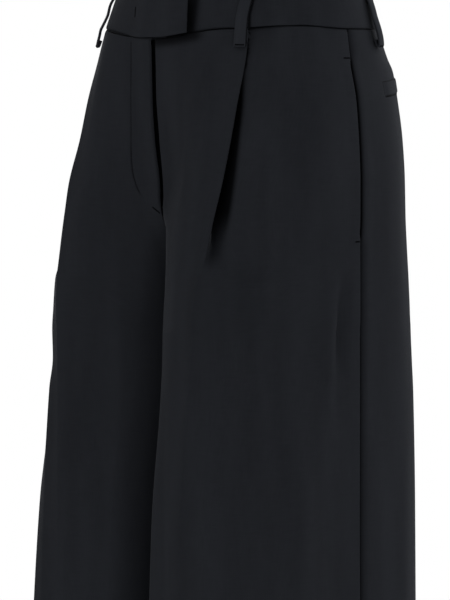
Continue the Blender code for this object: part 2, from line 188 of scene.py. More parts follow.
def corners(z):
    """(rows, 15, 2) corner points and (rows, 15) bends at heights z."""
    z = np.asarray(z, float)

    def at(table, cols, a):
        return np.stack([through(table, cols, a + "x", z), through(table, cols, a + "y", z)], -1)
    e, i, m, f, g, h, o, s = (at(FRONT, FRONT_COLS, a) for a in "eimfghos")
    a, b, c, d, j = (at(BACK, BACK_COLS, a) for a in "abcdj")
    bend = {k: through(BEND, BEND_COLS, k, z) for k in BEND_COLS[1:]}
    run = (f - m) / np.linalg.norm(f - m, axis=-1, keepdims=True)
    inward = np.stack([-run[..., 1], run[..., 0]], -1)
    w = bend["fold"][:, None]
    f2 = (1 - w) * (f + 0.2 * (g - f)) + w * (f + FOLD_TURN * inward)
    g2 = (1 - w) * (f + 0.8 * (g - f)) + w * (g - FOLD_TURN * inward)
    pts = np.stack([e, i, m, f, f2, g2, g, h, o, s, a, b, c, d, j], 1)
    big = np.full(z.shape, 99.0)
    r = np.stack([0 * big, bend["i"], big, bend["f"], bend["f"], bend["g"], bend["g"], bend["h"], big, big, big, big,
                  bend["c"], bend["d"], 0 * big], 1)
    return pts, r


def sections(z, plan):
    """(rows, len(plan), 2) points of the half section at heights z."""
    pts, r = corners(z)
    n = pts.shape[1]
    leg = np.linalg.norm(np.diff(pts, axis=1), axis=2)
    before, after = np.zeros_like(r), np.zeros_like(r)
    before[:, 1:n - 1] = np.minimum(r[:, 1:n - 1], 0.42 * leg[:, :-1])
    after[:, 1:n - 1] = np.minimum(r[:, 1:n - 1], 0.42 * leg[:, 1:])
    out = []
    for k, place in plan:
        if place <= 1:
            if k in (0, n - 1):
                out.append(pts[:, k])
                continue
            p0 = pts[:, k] + (pts[:, k - 1] - pts[:, k]) * (before[:, k] / leg[:, k - 1])[:, None]
            p2 = pts[:, k] + (pts[:, k + 1] - pts[:, k]) * (after[:, k] / leg[:, k])[:, None]
            out.append((1 - place) ** 2 * p0 + 2 * place * (1 - place) * pts[:, k] + place ** 2 * p2)
        else:
            p0 = pts[:, k] + (pts[:, k + 1] - pts[:, k]) * (after[:, k] / leg[:, k])[:, None]
            p1 = pts[:, k + 1] + (pts[:, k] - pts[:, k + 1]) * (before[:, k + 1] / leg[:, k])[:, None]
            out.append(p0 + (place - 1) * (p1 - p0))
    return np.stack(out, 1)


def plan_of(first, last, bends, legs):
    """Column plan from corner first to corner last: bends[k] points round corner k,
    legs[k] points along the straight after it."""
    plan = []
    for k in range(first, last + 1):
        if k in (0, 14):
            plan.append((k, 0.0))
        else:
            n = bends[k]
            lo, hi = (0.5 if k == first else 0.0), (0.5 if k == last else 1.0)
            plan += [(k, lo + (hi - lo) * i / (n - 1)) for i in range(n)]
        if k < last:
            plan += [(k, 1 + (i + 1) / (legs[k] + 1)) for i in range(legs[k])]
    return plan


FRONT_PLAN = plan_of(0, 9, {1: 34, 2: 10, 3: 8, 4: 6, 5: 6, 6: 8, 7: 12, 8: 12, 9: 7},
                     {0: 25, 1: 3, 2: 6, 3: 2, 4: 7, 5: 1, 6: 7, 7: 4, 8: 5})
BACK_PLAN = plan_of(9, 14, {9: 6, 10: 9, 11: 10, 12: 11, 13: 10},
                    {9: 4, 10: 3, 11: 4, 12: 6, 13: 14})


def seam_z(x, y):
    """Height of the waist seam at plan points."""
    t = np.abs(np.degrees(np.arctan2(np.asarray(x) / BAND_HALF_X, -np.asarray(y) / BAND_HALF_Y)))
    return BAND_LOW - BAND_DIP * (1 - smooth(4, 38, t)) + 2.5 * smooth(38, 60, t) * (1 - smooth(66, 92, t))


def band_point(t, share, out):
    """Waistband surface: t degrees from the centre front to the wearer's left, share 0 at
    the seam and 1 at the top, out in mm past the middle of its thickness."""
    t, share, out = np.broadcast_arrays(np.asarray(t, float), share, out)
    s, c = np.sin(np.radians(t)), np.cos(np.radians(t))
    ax = BAND_HALF_X + (BAND_TOP_X - BAND_HALF_X) * share
    ay = BAND_HALF_Y + (BAND_TOP_Y - BAND_HALF_Y) * share
    nx, ny = s / ax, -c / ay
    n = np.hypot(nx, ny)
    low = seam_z(ax * s, -ay * c) + BAND_GAP / 2
    t = np.abs((t + 180) % 360 - 180)
    out = out + BAND_FULL * (1 - share) * smooth(8, 36, t) * (1 - smooth(50, 90, t))
    top = BAND_TOP - 0.35 * BAND_DIP * (1 - smooth(4, 38, t))
    return np.stack([ax * s + out * nx / n, -ay * c + out * ny / n, low + (top - low) * share], -1)


# ------------------------------------------------------------------ meshes
HOME = bpy.data.collections.new("palazzo_trousers_cloth")
bpy.context.scene.collection.children.link(HOME)


def build(name, verts, faces, mat, uv=None, deep=None):
    mesh = bpy.data.meshes.new(name)
    mesh.from_pydata((np.asarray(verts, float) / 1000).tolist(), [], faces)
    if uv is not None:
        layer = mesh.uv_layers.new(name="cloth")
        at = np.empty(len(mesh.loops), np.int32)
        mesh.loops.foreach_get("vertex_index", at)
        layer.data.foreach_set("uv", (np.asarray(uv)[at] / 1000).astype(np.float32).ravel())
    # the 'deep' attribute carries painted shade, read by the wool material
    if deep is not None:
        layer = mesh.attributes.new("deep", "FLOAT", "POINT")
        layer.data.foreach_set("value", np.clip(np.asarray(deep, float).ravel(), 0, 1).astype(np.float32))
    mesh.shade_smooth()
    mesh.materials.append(mat)
    ob = bpy.data.objects.new(name, mesh)
    HOME.objects.link(ob)
    return ob


def grid_normals(grid, mirror=False):
    def mean_run(a, axis):
        t = np.diff(a, axis=axis)
        t /= np.maximum(np.linalg.norm(t, axis=-1, keepdims=True), 1e-9)
        t = np.moveaxis(t, axis, 0)
        return np.moveaxis(np.concatenate([t[:1], t[:-1] + t[1:], t[-1:]]), 0, axis)
    n = np.cross(mean_run(grid, 0), mean_run(grid, 1))
    n /= np.maximum(np.linalg.norm(n, axis=-1, keepdims=True), 1e-9)
    return -n if mirror else n


def picks(n, step):
    k = list(range(0, n, step))
    return k if k[-1] == n - 1 else k + [n - 1]


def shell(name, grid, outer, inner, mat, mirror=False, uv=None, coarse=2, deep=None):
    """A cloth wall on a grid of points (rows down, columns along): outer and inner give
    how far each face stands from the middle.  The inside has fewer points."""
    n = grid_normals(grid, mirror)
    rows, cols = grid.shape[:2]
    outer = np.broadcast_to(outer, (rows, cols))
    inner = np.broadcast_to(inner, (rows, cols))
    front, back = grid + n * outer[..., None], grid - n * inner[..., None]
    ri, ci = picks(rows, coarse), picks(cols, coarse)
    back = back[np.ix_(ri, ci)]
    verts = np.concatenate([front.reshape(-1, 3), back.reshape(-1, 3)])
    a = np.arange(rows * cols).reshape(rows, cols)
    b = rows * cols + np.arange(len(ri) * len(ci)).reshape(len(ri), len(ci))
    faces = np.stack([a[:-1, :-1], a[1:, :-1], a[1:, 1:], a[:-1, 1:]], -1).reshape(-1, 4).tolist()
    faces += np.stack([b[:-1, :-1], b[:-1, 1:], b[1:, 1:], b[1:, :-1]], -1).reshape(-1, 4).tolist()
    for k in range(len(ci) - 1):
        run = list(range(ci[k], ci[k + 1] + 1))
        faces.append([int(a[0, c]) for c in run] + [int(b[0, k + 1]), int(b[0, k])])
        faces.append([int(a[-1, c]) for c in run[::-1]] + [int(b[-1, k]), int(b[-1, k + 1])])
    for k in range(len(ri) - 1):
        run = list(range(ri[k], ri[k + 1] + 1))
        faces.append([int(a[r, 0]) for r in run[::-1]] + [int(b[k, 0]), int(b[k + 1, 0])])
        faces.append([int(a[r, -1]) for r in run] + [int(b[k + 1, -1]), int(b[k, -1])])
    if mirror:
        faces = [f[::-1] for f in faces]
    full = None
    if uv is not None:
        full = np.concatenate([uv.reshape(-1, 2), uv[np.ix_(ri, ci)].reshape(-1, 2)])
    if deep is not None:
        deep = np.concatenate([deep.ravel(), deep[np.ix_(ri, ci)].ravel()])
    return build(name, verts, faces, mat, full, deep), front


def tube(name, rings, mat, mirror=False, uv=None, deep=None):
    """Closed rings of points (n, k, 3), joined, with flat ends."""
    n, k = rings.shape[:2]
    a = np.arange(n * k).reshape(n, k)
    b = np.roll(a, -1, axis=1)
    faces = np.stack([a[:-1], a[1:], b[1:], b[:-1]], -1).reshape(-1, 4).tolist()
    faces += [a[0].tolist(), a[-1][::-1].tolist()]
    if mirror:
        faces = [f[::-1] for f in faces]
    return build(name, rings.reshape(-1, 3), faces, mat, uv, deep)


def threads(name, stitches, radius, mat):
    """Sewing stitches: each (start, end, outward) is one bowed, round-ended strand."""
    rings = ((0.0, 0.35, -0.6), (0.12, 0.85, -0.1), (0.35, 1.0, 0.25), (0.65, 1.0, 0.25), (0.88, 0.85, -0.1),
             (1.0, 0.35, -0.6))
    verts, faces = [], []
    for p0, p1, out in stitches:
        p0, p1, out = np.asarray(p0, float), np.asarray(p1, float), np.asarray(out, float)
        along = (p1 - p0) / max(np.linalg.norm(p1 - p0), 1e-9)
        side = np.cross(along, out)
        side /= max(np.linalg.norm(side), 1e-9)
        up = np.cross(side, along)
        base = len(verts)
        for place, wide, lift in rings:
            c = p0 + (p1 - p0) * place + up * lift * radius
            for k in range(6):
                w = 2 * math.pi * k / 6
                verts.append(c + wide * radius * (math.cos(w) * side + math.sin(w) * up))
        for r in range(len(rings) - 1):
            for k in range(6):
                q = base + 6 * r
                faces.append([q + k, q + (k + 1) % 6, q + 6 + (k + 1) % 6, q + 6 + k])
        faces.append([base + k for k in range(6)][::-1])
        faces.append([base + 6 * (len(rings) - 1) + k for k in range(6)])
    return build(name, verts, faces, mat)


# ------------------------------------------------------------------ materials
def wool(name, tone=1.0, weave=1.0):
    """Black suiting wool: close twill, faint slubs, a little bloom at the edges."""
    mat = bpy.data.materials.new(name)
    mat.use_nodes = True
    nt = mat.node_tree
    p = nt.nodes["Principled BSDF"]
    p.inputs["Metallic"].default_value = 0.0
    p.inputs["IOR"].default_value = 1.45
    p.inputs["Specular IOR Level"].default_value = 0.02
    p.inputs["Sheen Weight"].default_value = 0.07
    p.inputs["Sheen Roughness"].default_value = 0.18
    p.inputs["Sheen Tint"].default_value = (0.90, 0.93, 1.0, 1)

    def node(kind, **inputs):
        n = nt.nodes.new(kind)
        for key, value in inputs.items():
            n.inputs[key.replace("_", " ")].default_value = value
        return n

    def math_node(op, a, b=None, c=None):
        n = nt.nodes.new("ShaderNodeMath")
        n.operation = op
        for k, v in enumerate((a, b, c)):
            if v is None:
                continue
            if hasattr(v, "links"):
                nt.links.new(v, n.inputs[k])
            else:
                n.inputs[k].default_value = v
        return n.outputs[0]
    uv = nt.nodes.new("ShaderNodeUVMap")
    uv.uv_map = "cloth"
    split = nt.nodes.new("ShaderNodeSeparateXYZ")
    nt.links.new(uv.outputs["UV"], split.inputs[0])
    u, v = split.outputs[0], split.outputs[1]
    # twill: ribs at a slant, each broken by the weft
    rib = math_node("SINE", math_node("MULTIPLY", math_node("ADD", u, math_node("MULTIPLY", v, 0.55)), 2 * math.pi / 0.00085))
    pick = math_node("SINE", math_node("MULTIPLY", math_node("SUBTRACT", u, math_node("MULTIPLY", v, 1.9)),
                                       2 * math.pi / 0.0006))
    twill = math_node("ADD", math_node("MULTIPLY", rib, 0.6), math_node("MULTIPLY", pick, 0.4))
    # slubs: long in the warp and in the weft
    stretch_warp = nt.nodes.new("ShaderNodeMapping")
    stretch_warp.inputs["Scale"].default_value = (900, 60, 1)
    nt.links.new(uv.outputs["UV"], stretch_warp.inputs[0])
    warp = node("ShaderNodeTexNoise", Scale=1.0, Detail=2.0, Roughness=0.6)
    nt.links.new(stretch_warp.outputs[0], warp.inputs["Vector"])
    stretch_weft = nt.nodes.new("ShaderNodeMapping")
    stretch_weft.inputs["Scale"].default_value = (50, 800, 1)
    nt.links.new(uv.outputs["UV"], stretch_weft.inputs[0])
    weft = node("ShaderNodeTexNoise", Scale=1.0, Detail=2.0, Roughness=0.6)
    nt.links.new(stretch_weft.outputs[0], weft.inputs["Vector"])
    where = nt.nodes.new("ShaderNodeTexCoord")
    tall = nt.nodes.new("ShaderNodeMapping")
    tall.inputs["Scale"].default_value = (1, 1, 0.16)
    nt.links.new(where.outputs["Object"], tall.inputs[0])
    cloud = node("ShaderNodeTexNoise", Scale=38.0, Detail=3.0, Roughness=0.5)
    nt.links.new(tall.outputs[0], cloud.inputs["Vector"])
    slub = math_node("ADD", math_node("MULTIPLY", warp.outputs["Fac"], 0.5), math_node("MULTIPLY", weft.outputs["Fac"], 0.5))
    mixed = math_node("ADD", math_node("MULTIPLY", slub, 0.55), math_node("MULTIPLY", cloud.outputs["Fac"], 0.45))
    ramp = nt.nodes.new("ShaderNodeValToRGB")
    ramp.color_ramp.elements[0].position = 0.36
    ramp.color_ramp.elements[1].position = 0.64
    dark, light = (0.0092, 0.0100, 0.0121), (0.0129, 0.0140, 0.0168)
    ramp.color_ramp.elements[0].color = (*[c * tone for c in dark], 1)
    ramp.color_ramp.elements[1].color = (*[c * tone for c in light], 1)
    nt.links.new(mixed, ramp.inputs[0])
    # painted shade: the base colour is darkened by the 'deep' attribute where shade falls, in the pleat, along seams,
    # under laps and in gaps
    painted_shade_attr = nt.nodes.new("ShaderNodeAttribute")
    painted_shade_attr.attribute_name = "deep"
    painted_shade_scale = nt.nodes.new("ShaderNodeVectorMath")
    painted_shade_scale.operation = "SCALE"
    nt.links.new(ramp.outputs[0], painted_shade_scale.inputs[0])
    nt.links.new(math_node("MULTIPLY_ADD", painted_shade_attr.outputs["Fac"], -0.86, 1.0), painted_shade_scale.inputs["Scale"])
    nt.links.new(painted_shade_scale.outputs[0], p.inputs["Base Color"])
    rough = nt.nodes.new("ShaderNodeMapRange")
    rough.inputs["To Min"].default_value = 0.82
    rough.inputs["To Max"].default_value = 0.97
    nt.links.new(cloud.outputs["Fac"], rough.inputs["Value"])
    nt.links.new(rough.outputs[0], p.inputs["Roughness"])
    height = math_node("ADD", math_node("MULTIPLY", twill, 0.5 * weave), math_node("MULTIPLY", slub, 0.9))
    bump = node("ShaderNodeBump", Strength=0.35, Distance=0.00012)
    nt.links.new(height, bump.inputs["Height"])
    nt.links.new(bump.outputs[0], p.inputs["Normal"])
    return mat


def thread_material(name):
    mat = bpy.data.materials.new(name)
    mat.use_nodes = True
    nt = mat.node_tree
    p = nt.nodes["Principled BSDF"]
    p.inputs["Specular IOR Level"].default_value = 0.02
    where = nt.nodes.new("ShaderNodeTexCoord")
    ply = nt.nodes.new("ShaderNodeTexWave")
    ply.inputs["Scale"].default_value = 900.0
    ply.bands_direction = "DIAGONAL"
    nt.links.new(where.outputs["Object"], ply.inputs["Vector"])
    ramp = nt.nodes.new("ShaderNodeValToRGB")
    ramp.color_ramp.elements[0].color = (0.0016, 0.0017, 0.0020, 1)
    ramp.color_ramp.elements[1].color = (0.0034, 0.0036, 0.0042, 1)
    nt.links.new(ply.outputs["Fac"], ramp.inputs[0])
    nt.links.new(ramp.outputs[0], p.inputs["Base Color"])
    p.inputs["Roughness"].default_value = 0.95
    bump = nt.nodes.new("ShaderNodeBump")
    bump.inputs["Strength"].default_value = 0.4
    bump.inputs["Distance"].default_value = 0.0001
    nt.links.new(ply.outputs["Fac"], bump.inputs["Height"])
    nt.links.new(bump.outputs[0], p.inputs["Normal"])
    return mat


WOOL = wool("wool_twill")
# a lighter copy of the same wool for the belt loops: painted light
LOOP_WOOL = wool("wool_twill_painted_lighter", 1.16)
THREAD = thread_material("sewing_thread")


# ------------------------------------------------------------------ panels
def heights(side):
    if side == "front":
        steps = ((-16.45, -30, 1.5), (-30, -330, 1.9), (-330, -620, 2.3), (-620, HEM, 6.0))
    else:
        steps = ((-16.45, -30, 1.5), (-30, -330, 2.2), (-330, -620, 3.2), (-620, HEM, 7.0))
    z = []
    for a, b, step in steps:
        z += list(np.linspace(a, b, max(2, int(round((a - b) / step))), endpoint=False))
    return np.array(z + [HEM])


def arc_of(grid):
    d = np.linalg.norm(np.diff(grid, axis=1), axis=2)
    return np.concatenate([np.zeros((len(grid), 1)), np.cumsum(d, axis=1)], 1)


def slide(grid, start, end):
    """Draws both ends of each row in by start and end (arrays), over its first and last 45 mm."""
    s = arc_of(grid)
    out = grid.copy()
    for r in range(len(grid)):
        want = s[r] + start[r] * (1 - smooth(0, 45, s[r])) - end[r] * (1 - smooth(0, 45, s[r, -1] - s[r]))
        for k in range(3):
            out[r, :, k] = np.interp(want, s[r], grid[r, :, k])
    return out


def finer_end(grid, first):
    """More columns in the last stretch before the side seam, for a crisp edge."""
    a, b = (grid[:, 1], grid[:, 0]) if first else (grid[:, -2], grid[:, -1])
    more = np.stack([a + (b - a) * k for k in (0.4, 0.65, 0.82, 0.92, 0.975)], 1)
    if first:
        return np.concatenate([grid[:, :1], more[:, ::-1], grid[:, 1:]], 1)
    return np.concatenate([grid[:, :-1], more, grid[:, -1:]], 1)


def middle(side, mirror):
    """Middle surface of a panel: grid (rows, columns, 3), on the side of the wearer's left."""
    plan = FRONT_PLAN if side == "front" else BACK_PLAN
    zs = heights(side)
    fine = np.arange(-10.0, HEM - 1, -1.0)
    table = sections(fine, plan)
    base = sections(np.array([BAND_LOW]), plan)[0]
    tops = seam_z(base[:, 0], base[:, 1]) - BAND_GAP / 2
    fade = np.clip((zs + 70.0) / (zs[0] + 70.0), 0, 1)[:, None]
    z = zs[:, None] + (tops - zs[0])[None, :] * fade
    grid = np.empty((len(zs), len(plan), 3))
    grid[..., 2] = z
    for c in range(len(plan)):
        for k in (0, 1):
            grid[:, c, k] = np.interp(-z[:, c], -fine, table[:, c, k])
    open_here = smooth(FLY_LOW - 4, FLY_LOW + 10, zs)
    if side == "front":
        wide = FLY_OPEN + 1.4 * bump(zs, -118, 42)
        start = (wide if not mirror else 0.3) * open_here + SEWN_GAP / 2 * (1 - open_here)
        end = SEAM_GAP / 2 + MOUTH * smooth(POCKET_LOW, POCKET_LOW + 9, zs) * (1 - smooth(POCKET_TOP - 9, POCKET_TOP, zs))
    else:
        start, end = np.full(len(zs), SEAM_GAP / 2), np.full(len(zs), SEWN_GAP / 2)
    grid = finer_end(slide(grid, start, end), side == "back")
    # the centre seam is sewn shut, from the fly's foot under and up to the back waist
    k = 0 if side == "front" else -1
    turned = np.abs(grid_normals(grid)[:, k, 0])
    apart = np.maximum(grid[:, k, 0] + SEWN_LAP - CLOTH / 2 * turned, 0) * smooth(-304, -299, zs)
    if side == "front":
        apart = apart * (1 - smooth(FLY_LOW - 20, FLY_LOW - 4, zs))
    s = arc_of(grid)
    away = s if side == "front" else s[:, -1:] - s
    grid[..., 0] -= apart[:, None] * (1 - smooth(0, 14, away))
    if side == "front" and mirror:
        lift = FLY_LIFT * smooth(FLY_LOW - 20, FLY_LOW + 12, zs)
        grid[..., 1] -= lift[:, None] * (1 - smooth(4, 34, grid[..., 0]))
    return grid, zs


def fold_field(folds, place, z):
    """Sum of listed folds.  Each fold: (top z, bottom z, place at top, place at
    bottom, half width at top, half width at bottom, depth mm (+ out), lean)."""
    d = np.zeros_like(place)
    for z0, z1, p0, p1, w0, w1, depth, lean in folds:
        t = np.clip((z0 - z) / (z0 - z1), 0, 1)
        along = np.sin(np.pi * t ** lean) ** 1.2
        centre = p0 + (p1 - p0) * t
        half = w0 + (w1 - w0) * t
        d += depth * along * bump(place, centre, half)
    return d


FOLDS = {
    "front_left": (
        (-204, -1040, 146, 156, 19, 34, -3.2, 0.66), (-236, -1040, 69, 73, 28, 38, 2.6, 0.76),
        (-238, -350, 20, 23, 9, 10, -5.4, 1.0), (-236, -400, 36, 38, 9, 11, 1.8, 1.0),
        (-470, -1044, 24, 27, 14, 20, -1.1, 1.1),
        (-120, -236, 84, 74, 15, 22, 0.7, 1.0), (-700, -1044, 112, 104, 18, 26, -1.6, 1.3),
        (-560, -1044, 205, 214, 16, 26, 1.4, 1.1), (-330, -760, 232, 236, 14, 20, -1.0, 0.9),
    ),
    "front_right": (
        (-222, -1040, 62, 70, 24, 34, 1.4, 0.85), (-268, -1040, 122, 131, 22, 33, -1.6, 0.75),
        (-300, -700, 24, 28, 12, 16, -1.2, 1.0), (-96, -214, 78, 70, 14, 20, 0.6, 1.0),
        (-420, -1044, 176, 186, 18, 24, 1.1, 1.1), (-640, -1044, 96, 92, 18, 24, -1.4, 1.3),
    ),
    "back_left": (
        (-168, -1040, 44, 46, 20, 30, -1.6, 0.80), (-262, -1044, 158, 166, 16, 26, 2.4, 0.80),
        (-300, -860, 190, 196, 14, 20, -2.0, 0.9), (-110, -250, 148, 140, 16, 24, 0.9, 1.0),
    ),
    "back_right": (
        (-182, -1044, 40, 48, 18, 30, -1.3, 0.85), (-230, -1044, 90, 100, 22, 34, 2.3, 0.80),
        (-248, -1044, 142, 150, 18, 28, -1.6, 0.90), (-330, -780, 180, 186, 14, 22, 1.3, 0.9),
        (-122, -262, 124, 112, 16, 24, 0.8, 1.0), (-560, -1044, 68, 74, 14, 24, 1.5, 1.2),
    ),
}

# the fly's stitched line: height, and distance from the centre front edge
FLY_LINE = ((-26, 30.3), (-60, 30.3), (-95, 30.6), (-112, 31.4), (-130, 32.4), (-140, 32.7), (-149, 32.3), (-156, 30.8),
            (-163.5, 27.9), (-169, 24.3), (-173, 20.8), (-177, 16.0), (-180.5, 11.2))


def fly_line(z):
    rows = sorted(FLY_LINE)
    return np.interp(z, [r[0] for r in rows], [r[1] for r in rows])


def panel(side, label):
    mirror = label == "right"
    name = f"{side}_{label}"
    grid, zs = middle(side, mirror)
    s = arc_of(grid)
    total = s[:, -1:]
    z = grid[..., 2]
    front = side == "front"
    from_side = total - s if front else s          # distance from the side seam
    from_centre = s if front else total - s        # from the centre front or back, or inseam
    n = grid_normals(grid)
    # soft folds and the cloth's own unevenness
    d = fold_field(FOLDS[name], from_side, z)
    pocket = smooth(POCKET_LOW - 4, POCKET_LOW + 4, z) * (1 - smooth(POCKET_TOP - 4, POCKET_TOP + 4, z))
    below = smooth(0.5, 4, z[:1] - z)
    if not front:
        # the side seam's turnings lie to the back: its edge tucks in beside the front's
        d = d - below * ((1 - pocket) * 1.9 * (1 - np.clip(from_side / 9, 0, 1)) ** 1.5
                         + pocket * 0.6 * (1 - np.clip(from_side / 5, 0, 1)) ** 1.5)
    grid = grid + n * d[..., None]
    outer = np.full(z.shape, CLOTH / 2)
    inner = np.full(z.shape, CLOTH / 2)
    # edges turned in at the seams
    outer -= 0.35 * (1 - np.clip(from_side / 0.6, 0, 1)) ** 2
    round_in = 0.8 if name == "front_left" else 2.0
    shut = 0.3 + 0.7 * smooth(FLY_LOW - 6, FLY_LOW + 4, z)
    outer -= shut * (0.5 if name == "front_left" else 0.85) * (1 - np.clip(from_centre / round_in, 0, 1)) ** 2
    top = (z[:1] - z)
    outer -= 0.75 * (1 - np.clip(top / 2.2, 0, 1)) ** 2
    # seam turnings pressed open inside, and the hem turned up
    turn = 1 - smooth(11.0, 12.5, np.minimum(from_side, from_centre))
    inner += 0.9 * turn * smooth(0.5, 2.5, np.minimum(from_side, from_centre)) * smooth(3, 8, top) * (1 - (not front) * pocket)
    inner += 1.1 * smooth(HEM + 41.5, HEM + 40, z)
    outer += 0.28 * smooth(HEM + 43, HEM + 39.5, z)
    if name == "front_right":
        # fly facing behind, a fuller folded edge, and the groove of the stitched line
        down = smooth(FLY_LOW - 4, FLY_LOW + 8, z)
        inner += 1.0 * down * (1 - smooth(FLY_FACING - 2, FLY_FACING, from_centre)) * smooth(3, 8, top)
        outer -= 0.9 * down * (1 - np.clip(from_centre / 2.6, 0, 1)) ** 2
        line = np.exp(-((from_centre - fly_line(z)) / 1.0) ** 2) * smooth(-176, -168, z)
        # painted shade along the stitched line's groove
        painted_groove_shade = line * (0.30 + 0.30 * smooth(-112, -136, z)) * smooth(2, 6, top)
        outer -= 0.42 * line
        outer += 0.16 * down * smooth(fly_line(z) - 1.0, fly_line(z) - 4.0, from_centre) * smooth(-173, -160, z)
    # the turnings show outside as a low ridge, most on the back's side of the seam
    ridge = smooth(0.5, 3.5, from_side) * (1 - smooth(8.5, 12.5, from_side)) * smooth(6, 30, top)
    outer += (0.1 if front else 0.45) * ridge
    # painted shade where shade falls: the pleat's inside, beside the side seam's tucked edge, and below the tab on the
    # front panel
    if front:
        plan = FRONT_PLAN
        edge = s[:, [plan.index((4, 0.0))]]
        f_col = min(k for k, p in enumerate(plan) if p[0] == 3 and p[1] >= 0.5)
        g_col = min(k for k, p in enumerate(plan) if p[0] == 6)
        h_col = min(k for k, p in enumerate(plan) if p[0] == 7 and p[1] >= 0.5)
        gap = np.linalg.norm(grid[:, g_col:h_col + 1] - grid[:, f_col:f_col + 1], axis=2)
        near = np.take_along_axis(s[:, g_col:h_col + 1], gap.argmin(1)[:, None], 1)
        closed = smooth(-80, -40, z)
        inner_end = s[:, [h_col]] * (1 - closed) + (near + 2.6) * closed + 1.2 * bump(z, -160, 55)
        soft = 1.8 + 5.4 * (1 - closed)
        inner_end = inner_end - 0.6 * (1 - closed)
        deep = (smooth(edge - 0.4, edge + 1.0, s) * (1 - smooth(inner_end - soft, inner_end, s)) * smooth(-222, -182, z))
        if label == "right":
            deep = np.maximum(deep, painted_groove_shade)
        else:
            painted_tab_shadow = (1 - smooth(56, 72, s)) * 0.85 * (1 - smooth(3.0, 12.0, top))
            deep = np.maximum(deep, painted_tab_shadow)
    else:
        reach_in = 9 - 3.5 * pocket
        deep = 0.6 * (1 - smooth(0, reach_in, from_side)) + 0.45 * (1 - smooth(0.5, 2.2, from_side))
    uv = np.stack([s, z], -1)
    if mirror:
        grid = grid.copy()
        grid[..., 0] *= -1
    ob, face = shell(f"cloth_{name}", grid, outer, inner, WOOL, mirror, uv, deep=deep)
    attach(ob, "root")
    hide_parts(name)
    return ob, face, s, zs


PANELS = {}
for side in ("front", "back"):
    for label in ("left", "right"):
        PANELS[f"{side}_{label}"] = panel(side, label)


# ------------------------------------------------------------------ waistband
def waistband():
    end = 360 + math.degrees(math.asin(TAB_PAST / BAND_HALF_X))
    turns = np.concatenate([[1.0, 1.15, 1.4], np.arange(2.0, 43.5, 1.2), np.arange(43.5, 49.5, 0.3),
                            np.arange(49.5, 352, 1.2), np.arange(352, end - 0.9, 0.6),
                            [end - 0.7, end - 0.45, end - 0.22, end - 0.08, end]])
    half = BAND_THICK / 2
    # cross-section of the doubled band: (share of height, offset)
    tall = 32.0
    prof = [(0.35 / tall, half * 0.35), (0.9 / tall, half * 0.75), (1.8 / tall, half * 0.95), (3.5 / tall, half)]
    prof += [(x, half) for x in np.linspace(0.17, 0.90, 11)]
    prof += [(1 - 1.3 / tall, half * 0.97), (1 - 0.6 / tall, half * 0.78), (1 - 0.15 / tall, half * 0.4), (1.0, 0.0),
             (1 - 0.15 / tall, -half * 0.4), (1 - 0.6 / tall, -half * 0.78), (1 - 1.3 / tall, -half * 0.97)]
    prof += [(x, -half) for x in np.linspace(0.9, 0.1, 6)]
    prof += [(1.0 / tall, -half * 0.8), (0.2 / tall, -half * 0.4), (0.0, 0.0)]
    share = np.array([p[0] for p in prof])
    off = np.array([p[1] for p in prof])
    ends = np.minimum(turns - turns[0], turns[-1] - turns)
    squeeze = np.sqrt(np.clip(1 - (1 - np.clip(ends / 0.5, 0, 1)) ** 2, 0.02, 1))
    lift = TAB_STEP * smooth(343, 358, turns) + TAB_LIFT * smooth(357, 381, turns)
    lean = TAB_SLANT * (1 - 2 * share)[None, :] * smooth(356, end, turns)[:, None]
    rings = band_point(turns[:, None] + lean, share[None, :], lift[:, None] + off[None, :] * squeeze[:, None])
    # painted shadow on the band's face under and beside the tab's lifted end
    deep = 0.9 * (1 - smooth(20.6, 24.2, turns))[:, None] * (off > 0)[None, :] * np.ones_like(rings[..., 0])
    # shade in the angle beside the left front loop, which is sewn on aslant
    centre = (LOOP_AT + LOOP_LEAN / 2.33 * np.clip((BAND_LOW + (BAND_TOP - BAND_LOW) * share + 4) / 19, 0, 1))[None, :]
    beside = smooth(centre + 1.9, centre + 2.4, turns[:, None]) * (1 - smooth(centre + 3.0, centre + 3.7, turns[:, None]))
    deep = np.maximum(deep, 0.8 * beside * (off > 0)[None, :])
    u = np.radians(turns) * 131.0
    uv = np.stack(np.broadcast_arrays(rings[..., 2], u[:, None]), -1).reshape(-1, 2)
    ob = tube("cloth_waistband", rings, WOOL, uv=uv, deep=deep)
    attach(ob, "root")
    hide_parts("waistband")
    return ob


BAND = waistband()


def band_turning():
    """The seam's turnings and the band's inner edge, which close the waist seam inside."""
    turns = np.arange(7.5, 346.2, 1.6)
    deep, lip = [], []
    for t in turns:
        t = t if t <= 180 else 360 - t
        edge = reach(t, BAND_LOW)
        deep.append(min(-BAND_THICK / 2, edge - 0.6, reach(t, BAND_LOW - 8) - 1.5) - 0.85 - 2.4 * float(bump(t, 92, 11)))
        lip.append(edge - 0.1)
    deep, lip = np.array(deep), np.array(lip)
    deep = np.minimum(deep, np.convolve(np.pad(deep, 3, "edge"), np.ones(7) / 7, "valid"))
    # the lip lies in the seam, between the panels' edge and the band's
    prof = np.array([(-0.30, 0.15, 0), (-0.27, 0.42, 0), (-0.1, 0.5, 0), (-0.024, 0.5, 0), (-0.021, 0, 1), (-0.007, 0, 1),
                     (-0.004, 0.5, 0), (0.1, 0.5, 0), (0.36, 0.5, 0), (0.39, 0.2, 0), (0.39, -0.2, 0),
                     (0.36, -0.5, 0), (0.1, -0.5, 0), (-0.1, -0.5, 0), (-0.27, -0.42, 0), (-0.30, -0.15, 0)])[::-1]
    off = np.where(prof[None, :, 2] > 0, lip[:, None], deep[:, None] + prof[None, :, 1])
    rings = band_point(turns[:, None], prof[None, :, 0], off)
    uv = np.stack(np.broadcast_arrays(rings[..., 2], np.radians(turns)[:, None] * 129.0), -1).reshape(-1, 2)
    # the lip in the waist seam is painted in full shade
    ob = tube("cloth_band_turning", rings, WOOL, uv=uv, deep=np.broadcast_to(prof[None, :, 2], rings.shape[:2]))
    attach(ob, "root")
    return ob


